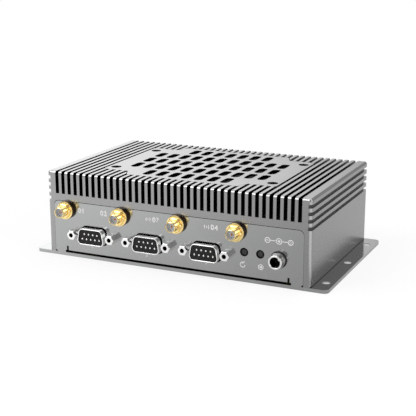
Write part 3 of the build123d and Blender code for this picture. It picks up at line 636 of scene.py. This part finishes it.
class EDGE_OT_antennas(bpy.types.Operator):
    """Make the threaded antenna jacks with their nuts, washers and seals"""

    bl_idname = "edge.antennas"
    bl_label = "Antenna jacks"

    def execute(self, context):
        nuts, washers, seals, linings = [], [], [], []
        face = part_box("antenna_insulators")[0].y
        nut_low, nut_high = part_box("antenna_hex_nuts")
        washer_low, washer_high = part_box("antenna_washers")
        seal_low, seal_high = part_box("antenna_seal_rings")
        across = nut_high.z - nut_low.z
        for jack in JACKS:
            centre = node_centre(jack)
            self.barrel(jack, centre, nut_low.y)
            nuts.append(
                hex_bar(centre, nut_low.y, nut_high.y, across, 2.95 * MM, 0.8 * MM)
            )
            washers.append(self.washer(centre, washer_low, washer_high))
            seals.append(self.seal(centre, seal_low, seal_high))
            linings.append(self.lining(centre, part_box(jack)[0].y + 0.3 * MM, face))
        obj = piece("antenna_nuts", join(nuts), "gold", 25)
        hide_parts("antenna_hex_nuts")
        obj = piece("antenna_lock_washers", join(washers), "gold", 30)
        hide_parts("antenna_washers")
        obj = piece("antenna_seals", join(seals), "seal", 40)
        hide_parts("antenna_seal_rings")
        dressed("antenna_insulators", "insulator", 0.05 * MM)
        piece("antenna_linings", join(linings), "insulator", 40)
        finish_node("antenna_contacts", "copper")
        finish_node("antenna_lead_plugs", "gold")
        for k in (1, 2, 3, 4):
            finish_node(f"antenna_lead_{k}", "black")
        return {"FINISHED"}

    def barrel(self, jack, centre, nut_y):
        """The jack turned about its axis, with a ridge that climbs one pitch a turn.

        On the threaded stretch the radius is the crest's, less the depth times a
        triangle wave of y over pitch plus the turn."""
        s = sizes()
        low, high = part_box(jack)
        tip = low.y
        flare = (high.x - low.x) / 2
        crest, root, neck = 3.1 * MM, 3.0 * MM, 2.9 * MM
        bore, tail, chamfer = 2.5 * MM, 1.6 * MM, 0.25 * MM
        floor, panel_in = tip + 8.0 * MM, tip + 10.6 * MM
        back = panel_in + 2.0 * MM
        start, end = tip + 0.7 * MM, nut_y - 0.1 * MM
        along = np.linspace(start, end, int((end - start) / s.thread_pitch * 12))
        front = [(0.0, floor), (bore, floor), (bore, tip + chamfer),
                 (bore + 0.15 * MM, tip), (root - chamfer, tip), (root, tip + chamfer),
                 (root, start)]
        rear = [(neck, nut_y), (neck, panel_in), (flare, panel_in), (flare, back),
                (tail, back), (tail, high.y), (0.0, high.y)]
        outline = np.array(front + [(crest, y) for y in along] + rear)
        turn = np.linspace(0, 2 * np.pi, 64, endpoint=False)
        radius = np.repeat(outline[:, :1], len(turn), 1)
        y = np.repeat(outline[:, 1:], len(turn), 1)
        thread = slice(len(front), len(front) + len(along))
        phase = np.mod(y[thread] / s.thread_pitch + turn / (2 * np.pi), 1)
        radius[thread] -= s.thread_depth * np.abs(2 * phase - 1)
        shape = grid(about(centre, radius, y, turn))
        obj = piece(jack + "_threaded", shape, "gold", 35)
        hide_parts(jack)

    def lining(self, centre, front, back):
        """A thin tube inside the barrel, from near its tip to the insulator's face."""
        outer, inner = 2.49 * MM, 2.36 * MM
        profile = [(inner, front), (outer, front), (outer, back), (inner, back)]
        return turned(profile, centre, 48, (False, False), True)

    def washer(self, centre, low, high):
        """A flat washer with a rounded rim, turned about its axis."""
        outer = (high.z - low.z) / 2
        bore, soft = 2.97 * MM, 0.15 * MM
        profile = [(bore, low.y), (outer - soft, low.y),
                   (outer - soft * 0.3, low.y + soft * 0.3), (outer, low.y + soft),
                   (outer, high.y - soft), (outer - soft, high.y), (bore, high.y)]
        return turned(profile, centre, 96, (False, False), True)

    def seal(self, centre, low, high):
        """A ring whose rim follows a quarter circle at each face."""
        bore, soft = 2.98 * MM, 0.5 * MM
        rim = (high.z - low.z) / 2 - soft
        bend = np.linspace(0, np.pi / 2, 6)
        front = [(rim + soft * np.sin(a), low.y + soft - soft * np.cos(a)) for a in bend]
        back = [(rim + soft * np.cos(a), high.y - soft + soft * np.sin(a)) for a in bend]
        profile = [(bore, low.y)] + front + back + [(bore, high.y)]
        return turned(profile, centre, 64, (False, False), True)


class EDGE_OT_serial(bpy.types.Operator):
    """Finish the serial ports and make their jackscrews"""

    bl_idname = "edge.serial"
    bl_label = "Serial ports"

    def execute(self, context):
        for port in PORTS:
            dressed(port + "_shell", "shell", 0.2 * MM, segments=3)
            dressed(port + "_insulator", "black", 0.1 * MM)
            dressed(port + "_contacts", "pin", 0.12 * MM)
            self.jackscrews(port + "_jackscrews")
        return {"FINISHED"}

    def jackscrews(self, node):
        """Two hexagonal posts with a shank behind, and near-black cups lining their bores
        as painted shade.
        """
        low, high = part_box(node)
        z = (low.z + high.z) / 2
        across = high.z - low.z
        reach = across / math.cos(math.pi / 6) / 2
        bore, shank, end = 1.3 * MM, 1.4 * MM, low.y + 4 * MM
        post = [(0, end), (bore, end), (bore, PANEL_Y), (shank, PANEL_Y),
                (shank, high.y), (0, high.y)]
        outer, inner = 1.29 * MM, 1.19 * MM
        mouth, floor = low.y + 0.15 * MM, low.y + 3.8 * MM
        front = floor - 0.1 * MM
        cup = [(inner, mouth), (outer, mouth), (outer, floor), (0, floor), (0, front),
               (inner, front)]
        bars, cups = [], []
        for x in (low.x + reach, high.x - reach):
            centre = (x, 0, z)
            bars.append(hex_bar(centre, low.y, PANEL_Y, across, bore, 0.35 * MM))
            bars.append(turned(post, centre, 32))
            cups.append(turned(cup, centre, 32, (False, False), True))
        obj = piece(node + "_cut", join(bars), "nickel", 25)
        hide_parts(node)
        # Painted shade: near-black cups inside the bores
        piece(node + "_bores", join(cups), "bore", 30)


class EDGE_OT_controls(bpy.types.Operator):
    """Finish the push buttons and the power inlet"""

    bl_idname = "edge.controls"
    bl_label = "Buttons and power inlet"

    def execute(self, context):
        for name in ("reset", "recovery"):
            cap = name + "_button"
            dressed(cap, "button", 0.25 * MM, cap)
            finish_node(name + "_switch", "black")
        dressed("dc_jack_barrel", "barrel", 0.18 * MM, segments=3)
        dressed("dc_jack_seal", "black", 0.15 * MM)
        finish_node("dc_jack_body", "black")
        # Painted shade: the centre pin takes the black screw finish, so that it sits dark
        # in the bore
        dressed("dc_jack_pin", "screw", 0.1 * MM)
        self.barrel_spring()
        return {"FINISHED"}

    def barrel_spring(self):
        """The bent end of the spring that touches a plug, at the bore's upper right.

        Its section is a block of four corners, given by how far it rises from the bore
        and by its width; along the bore it narrows towards the back."""
        centre = node_centre("dc_jack_barrel")
        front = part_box("dc_jack_barrel")[0].y + 0.35 * MM
        bore, turn = 2.88, math.radians(40)
        out = np.array([math.cos(turn), 0, math.sin(turn)]) * MM
        side = np.array([-math.sin(turn), 0, math.cos(turn)]) * MM
        rows = []
        for back, rise in ((0.0, 0.55), (0.5, 0.8), (3.0, 0.1)):
            middle = np.array([centre.x, front + back * MM, centre.z])
            top = bore - rise
            corners = ((top, -0.5), (bore, -0.55), (bore, 0.55), (top, 0.5))
            rows.append([middle + out * r + side * w for r, w in corners])
        piece("inlet_spring", grid(np.array(rows), True, (True, True)), "nickel",
              30)


class EDGE_OT_inside(bpy.types.Operator):
    """Finish the boards and what stands on them"""

    bl_idname = "edge.inside"
    bl_label = "Boards"

    def execute(self, context):
        finishes = {
            "carrier_board": "board", "compute_module": "board", "ssd_card": "board",
            "wifi_card": "board", "cellular_card": "board", "module_socket": "black",
            "card_sockets": "black", "processor_lid": "nickel", "thermal_pad": "pad",
            "board_standoffs": "gold", "board_screws": "screw",
        }
        for node, material in finishes.items():
            finish_node(node, material)
        return {"FINISHED"}


class EDGE_OT_rear(bpy.types.Operator):
    """Finish the sockets at the back and give them their contacts"""

    bl_idname = "edge.rear"
    bl_label = "Rear sockets"

    def execute(self, context):
        dark, bright = [], []
        for node, edge, fill in (
            ("lan_port_1", 0.15, self.network), ("lan_port_2", 0.15, self.network),
            ("usb_port_1", 0.15, self.double), ("usb_port_2", 0.15, self.double),
            ("hdmi_port", 0.1, self.display),
        ):
            dressed(node, "nickel", edge * MM)
            insides, contacts = fill(node_centre(node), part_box(node)[1].y)
            dark += insides
            bright += contacts
        piece("rear_socket_insides", join(dark), "black", 30)
        piece("rear_socket_contacts", join(bright), "gold", 30)
        return {"FINISHED"}

    def network(self, centre, mouth):
        """A network socket's moulding, a stepped tube with a back wall, and its wires."""
        ahead, deep, wall = mouth - 0.6 * MM, mouth - 11.95 * MM, 0.15
        rows = [self.stepped(centre, deep + 0.2 * MM, wall),
                self.stepped(centre, ahead, wall),
                self.stepped(centre, ahead, 0.0), self.stepped(centre, deep, 0.0)]
        tube = grid(np.array(rows), True, (True, True))
        return [tube], [self.spring_wire(centre, mouth, i) for i in range(8)]

    def stepped(self, centre, y, inset):
        """The outline of a network socket with its latch notch, drawn in by an inset."""
        wide, high, latch, low = [v - inset for v in (5.88, 4.08, 2.93, 5.78)]
        across = np.array([-wide, wide, wide, latch, latch, -latch, -latch, -wide]) * MM
        up = np.array([high, high, -high, -high, -low, -low, -high, -high]) * MM
        return np.stack([centre.x + across, np.full(8, y), centre.z + up], -1)

    def spring_wire(self, centre, mouth, i):
        """One of eight wires that slope down into a network socket."""
        x = centre.x + (i - 3.5) * 1.02 * MM
        path = ((1.4, 3.7), (2.2, 3.1), (8.5, 0.2), (10.8, 0.6))
        return beam(x, [(mouth - back * MM, centre.z + lift * MM, 0.4 * MM, 0.28 * MM)
                        for back, lift in path])

    def double(self, centre, mouth):
        """A double socket: in each half a tongue, a back wall and four contacts."""
        dark, bright = [], []
        x = centre.x
        for lift in (-3.1, 4.7):
            z = centre.z + lift * MM
            dark.append(self.block(x, z, mouth, 0.96, 9.9, 11.08, 1.88))
            dark.append(self.block(x, z - 0.8 * MM, mouth, 10.9, 0.1, 12.1, 5.1))
            bright += [
                self.block(x + across * MM, z - 1.0 * MM, mouth, 1.6, 7.5, 1.0, 0.14)
                for across in (-3.5, -1.0, 1.0, 3.5)
            ]
        return dark, bright

    def display(self, centre, mouth):
        """A display socket: a tongue and a back wall."""
        x, z = centre.x, centre.z
        tongue = self.block(x, z, mouth, 0.96, 8.9, 11.68, 1.28)
        wall = self.block(x, z + 0.2 * MM, mouth, 9.9, 0.1, 11.8, 4.5)
        return [tongue, wall], []

    def block(self, x, z, mouth, back, deep, wide, high):
        """A block that starts back mm behind the mouth and is drawn in a little there.

        Its depth, width and height are in mm too."""
        y, soft = mouth - back * MM, min(0.15, deep / 3)
        return beam(x, [(y - step * MM, z, wide * part * MM, high * part * MM)
                        for part, step in ((0.94, 0), (1.0, soft), (1.0, deep))])


class EDGE_OT_marks(bpy.types.Operator):
    """Print plain numbers and signs beside the sockets"""

    bl_idname = "edge.marks"
    bl_label = "Marks"

    # Text, x and z on the front panel in mm, and share of the mark height
    numbers = (
        ("01", -58.3, 28.2, 1.0), ("02", -43.6, 28.2, 1.0), ("03", -10.2, 28.3, 1.0),
        ("04", 25.4, 28.3, 1.0), ("1", -51.7, 7.1, 0.6), ("2", -16.3, 7.1, 0.6),
        ("3", 20.6, 7.1, 0.6),
    )
    thick = 0.012 * MM

    def execute(self, context):
        s = sizes()
        y = PANEL_Y - s.mark_lift
        for i, (text, x, z, share) in enumerate(self.numbers):
            self.number(f"mark_number_{i + 1}", text, x * MM, y, z * MM,
                        s.mark_height * share)
        self.signs(y)
        return {"FINISHED"}

    def number(self, name, text, x, y, z, height):
        """A number whose digits have that height, made a little bolder than the font."""
        curve = bpy.data.curves.new(name, "FONT")
        curve.body = text
        curve.align_x = "CENTER"
        curve.align_y = "CENTER"
        curve.size = height * 1.37
        curve.extrude = 0.01 * MM
        curve.offset = height * 0.049
        curve.space_character = 1.15
        holder = placed(name + "_text", curve)
        bpy.context.view_layer.update()
        mesh = bpy.data.meshes.new_from_object(holder)
        bpy.data.objects.remove(holder)
        bpy.data.curves.remove(curve)
        upright = Matrix.Rotation(math.pi / 2, 4, "X")
        mesh.transform(Matrix.Translation((x, y, z)) @ upright)
        mesh.name = name
        coat(mesh, "mark")
        obj = placed(name, mesh)
        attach(obj, BODY)

    def signs(self, y):
        """A barrel plug's polarity, a turned arrow, a dotted ring and two radio signs.

        Rings are x, z, radius and width in mm, for a part of a ring also the turns in
        degrees; bars are x, z, width and height. Bars lie a hair before the rings."""
        line = sizes().mark_stroke / MM
        rings = [
            (56.2, 25.4, 1.6, line), (69.2, 25.4, 1.6, line), (62.7, 25.4, 1.75, line),
            (62.7, 25.4, 0.7, 0.7), (42.1, 9.8, 1.6, line, 60, 360),
            (52.6, 9.8, 1.6, line), (52.6, 9.8, 0.75, 0.75),
        ]
        for x in (-15.0, 20.8):
            rings += [(x, 28.3, 0.45, 0.45), (x, 28.3, 1.6, line, -45, 45),
                      (x, 28.3, 1.6, line, 135, 225)]
        bars = [
            (56.2, 25.4, 1.6, line), (69.2, 25.4, 1.6, line), (69.2, 25.4, line, 1.6),
            (59.3, 25.4, 2.9, line), (66.0, 25.4, 2.9, line),
            (43.0, 11.1, line, 1.4), (42.5, 10.6, 1.4, line),
        ]
        parts = [self.ring(y, *ring) for ring in rings]
        parts += [self.bar(y - 0.004 * MM, *bar) for bar in bars]
        piece("mark_signs", join(parts), "mark", 30)

    def ring(self, y, x, z, radius, width, start=0, stop=360):
        """A flat ring, or the stretch of it between two turns."""
        whole, count = stop - start >= 360, 40
        turn = np.radians(np.linspace(start, stop, count, endpoint=not whole))
        inner, outer = max(radius - width, 0.001) * MM, radius * MM
        back = y + self.thick
        steps = [(inner, y), (outer, y), (outer, back), (inner, back), (inner, y)]
        centre = (x * MM, 0, z * MM)
        rows = [about(centre, r, depth, turn) for r, depth in steps]
        points, faces = grid(np.array(rows), whole)
        if not whole:
            ends = np.arange(4) * count
            faces += [ends.tolist(), (ends[[0, 3, 2, 1]] + count - 1).tolist()]
        return points, faces

    def bar(self, y, x, z, width, height):
        return beam(x * MM, [(depth, z * MM, width * MM, height * MM)
                             for depth in (y, y + self.thick)])


# Stage

class EDGE_OT_stage(bpy.types.Operator):
    """Set the floor, the studio light and the camera"""

    bl_idname = "edge.stage"
    bl_label = "Stage"

    def execute(self, context):
        scene = context.scene
        scene.view_settings.view_transform = "Standard"
        self.floor()
        self.world(scene)
        self.light("key", (-0.9, -0.7, 1.3), (0, 0, 0), 1.0, 10.0)
        self.light("top", (0.15, 0.5, 1.5), (0, 0, 0), 1.2, 7.0)
        self.light("side", (1.4, -0.3, 0.7), (0, 0, 0.02), 0.8, 6.0)
        self.camera(scene)
        return {"FINISHED"}

    def floor(self):
        """A floor a hair above the underside, so that the two don't share a plane.

        A share of its light is its own glow. To the camera the glow is white and its
        share is three quarters near the object, which leaves room for the shadow, and
        whole far off. Mirrored in the object, the glow is bright at the left and dim at
        the right, with a bright pool at the front right and a weak one at the back."""
        half = sizes().floor_width / 2
        line = np.linspace(-half, half, 3)
        x, y = np.meshgrid(line, line)
        points, faces = grid(np.stack([x, y, np.full_like(x, 0.01 * MM)], -1), False)
        mesh = bpy.data.meshes.new("floor")
        mesh.from_pydata(points.tolist(), [], faces)
        obj = placed("floor", mesh)
        paint = Paint("floor_white", Roughness=0.9)
        paint.set("Base Color", (0.8, 0.8, 0.8))
        seen, mirrored, through = paint.rays(
            "Is Camera Ray", "Is Glossy Ray", "Is Transmission Ray"
        )
        x, y = paint.axes()[:2]
        far = (x * x + y * y).step(0.03, 0.16)
        share = seen * (far * 0.25 + 0.75) + mirrored * 0.7 + through * 0.7
        pool = x.step(0.09, 0.12) * y.step(-0.02, -0.05) * 1.2
        level = x.step(-0.15, 0.12, 1.31, 0.54) + pool + y.step(-0.08, 0.03) * 0.2
        tone = paint.node("CombineXYZ", None, {axis: level for axis in "XYZ"})
        white = paint.mix(seen, Wire(paint, tone.outputs[0]), (1.07, 1.07, 1.07, 1))
        white = paint.node("Emission", None, {"Color": white, "Strength": 1.0})
        mix = paint.node("MixShader")
        links = paint.tree.links
        links.new(share.socket, mix.inputs[0])
        links.new(paint.shader.outputs[0], mix.inputs[1])
        links.new(white.outputs[0], mix.inputs[2])
        links.new(mix.outputs[0], paint.tree.nodes["Material Output"].inputs[0])
        mesh.materials.append(paint.material)

    def world(self, scene):
        """White to the camera. For the object the sky is an even grey, and in its mirror
        image two patches glow: low at the back left, and high at the front left."""
        world = bpy.data.worlds.new("studio")
        scene.world = world
        world.use_nodes = True
        sky = Sky(world)
        glow = sky.patch((-0.64, 0.64, 0.42), 0.829, 0.97) * 1.42
        glow = glow + sky.patch((-0.42, -0.5, 0.76), 0.8, 0.93) * 2.3
        seen, mirrored = sky.rays("Is Camera Ray", "Is Glossy Ray")
        sky.set("Strength", seen + (1 - seen) * (mirrored * glow + 0.47))

    def light(self, name, place, aim, size, power):
        """A square lamp at a place, turned to what it aims at."""
        lamp = bpy.data.lights.new(name, "AREA")
        lamp.shape = "SQUARE"
        lamp.size = size
        lamp.energy = power
        obj = placed(name, lamp)
        obj.location = place
        towards = Vector(aim) - Vector(place)
        obj.rotation_euler = towards.to_track_quat("-Z", "Y").to_euler()

    def camera(self, scene):
        """The photo's pinhole camera: turned about Z, then tipped down, then rolled.

        The focal length is in pixels of the photo."""
        focal, tip, roll, turn = 1003.41, 0.2634, 0.0014, -0.4357
        photo_width, sensor_width = 416, 36.0
        place = Vector((241.31, -521.80, 179.26)) * MM
        rz = Matrix.Rotation(turn, 3, "Z")
        rx = Matrix.Rotation(tip, 3, "X")
        ry = Matrix(((math.cos(roll), 0, -math.sin(roll)), (0, 1, 0),
                     (math.sin(roll), 0, math.cos(roll))))
        right, ahead, up = ry @ rx @ rz
        look = Matrix((right, up, -ahead)).transposed().to_4x4()
        data = bpy.data.cameras.new("camera")
        data.sensor_width = sensor_width
        data.lens = sensor_width * focal / photo_width
        data.clip_start = 0.01
        obj = placed("camera", data)
        obj.matrix_world = Matrix.Translation(place) @ look
        scene.camera = obj


OPERATORS = (
    EDGE_OT_case, EDGE_OT_fan, EDGE_OT_antennas, EDGE_OT_serial, EDGE_OT_controls,
    EDGE_OT_inside, EDGE_OT_rear, EDGE_OT_marks, EDGE_OT_stage,
)


class EDGE_PT_panel(bpy.types.Panel):
    """Lists the pieces that can be made, with their sizes and colours"""

    bl_idname = "EDGE_PT_panel"
    bl_label = "Edge computer"
    bl_space_type = "VIEW_3D"
    bl_region_type = "UI"
    bl_category = "Edge computer"

    def draw(self, context):
        for group in (context.scene.edge_sizes, context.scene.edge_colours):
            for name in group.__annotations__:
                self.layout.prop(group, name)
        for operator in OPERATORS:
            self.layout.operator(operator.bl_idname)


CLASSES = (EdgeColours, EdgeSizes, *OPERATORS, EDGE_PT_panel)


def register():
    for item in CLASSES:
        bpy.utils.register_class(item)
    bpy.types.Scene.edge_colours = PointerProperty(type=EdgeColours)
    bpy.types.Scene.edge_sizes = PointerProperty(type=EdgeSizes)


def unregister():
    del bpy.types.Scene.edge_sizes
    del bpy.types.Scene.edge_colours
    for item in reversed(CLASSES):
        bpy.utils.unregister_class(item)


def main():
    register()
    make_materials()
    for operator in OPERATORS:
        group, name = operator.bl_idname.split(".")
        getattr(getattr(bpy.ops, group), name)()
    bpy.context.view_layer.update()


if __name__ == "__main__":
    main()
